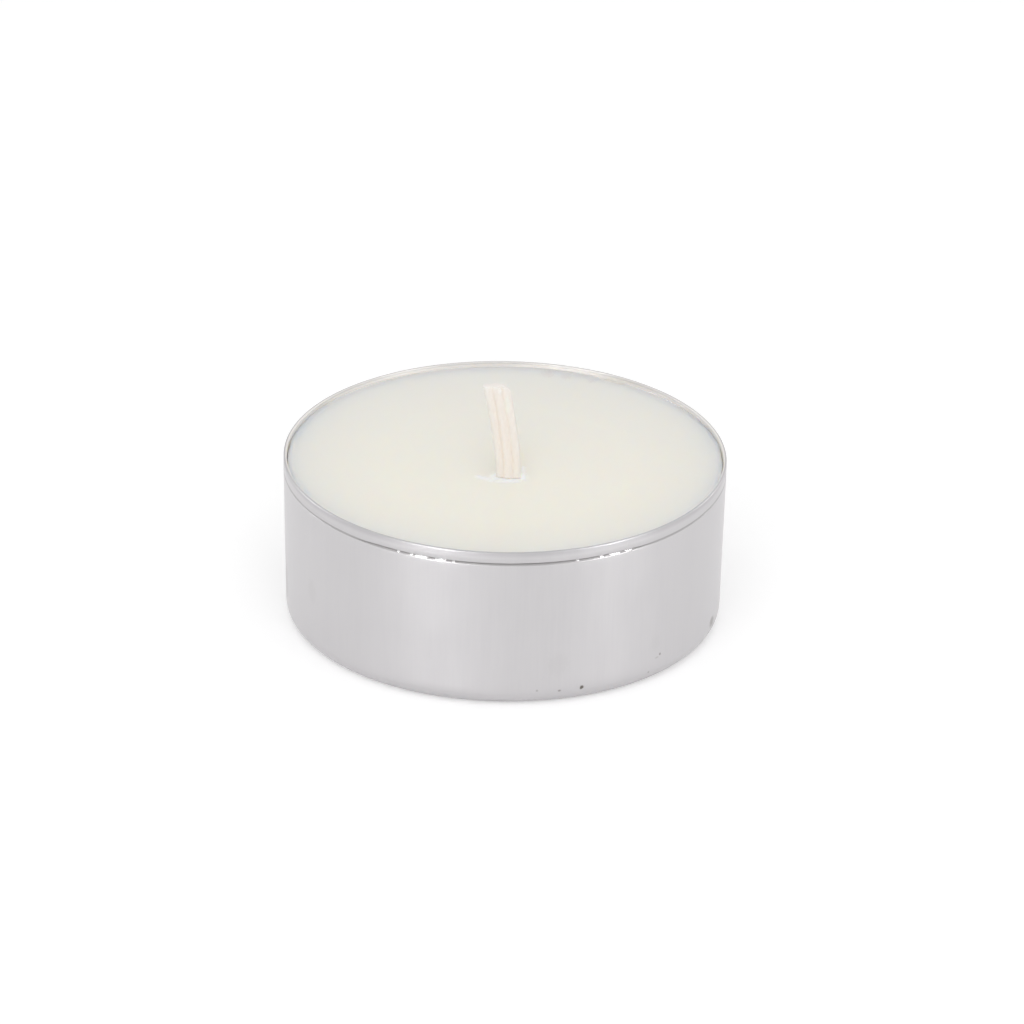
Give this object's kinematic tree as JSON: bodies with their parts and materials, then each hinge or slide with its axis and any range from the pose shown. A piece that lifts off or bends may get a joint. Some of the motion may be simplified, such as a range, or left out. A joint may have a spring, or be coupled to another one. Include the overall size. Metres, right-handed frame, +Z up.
{
  "type": "tea light candle",
  "caption": "Round tea light: a thin aluminium cup with a hemmed rim, filled with ivory wax round a short leaning cotton wick.",
  "frame": {"origin": "centre of the cup's base, on the surface that the candle stands on", "axes": "+Z up along the cup's axis, +Y away from the viewer of the picture, so that the wick stands a little in front of the axis (-Y) and leans to -X and +Y"},
  "size_m": [0.038, 0.038, 0.022],
  "materials": {
    "cup_aluminium": "bright drawn aluminium with fine vertical drawing lines",
    "paraffin_wax": "cast paraffin wax, ivory, satin and a little translucent",
    "waxed_cotton": "three-cord cotton wick soaked with wax",
    "tinned_steel": "tinned, bright"
  },
  "bodies": {
    "root": {"cup": "cup_aluminium", "wax": "paraffin_wax", "wick": "waxed_cotton", "wick_tab": "tinned_steel"}
  },
  "joints": []
}
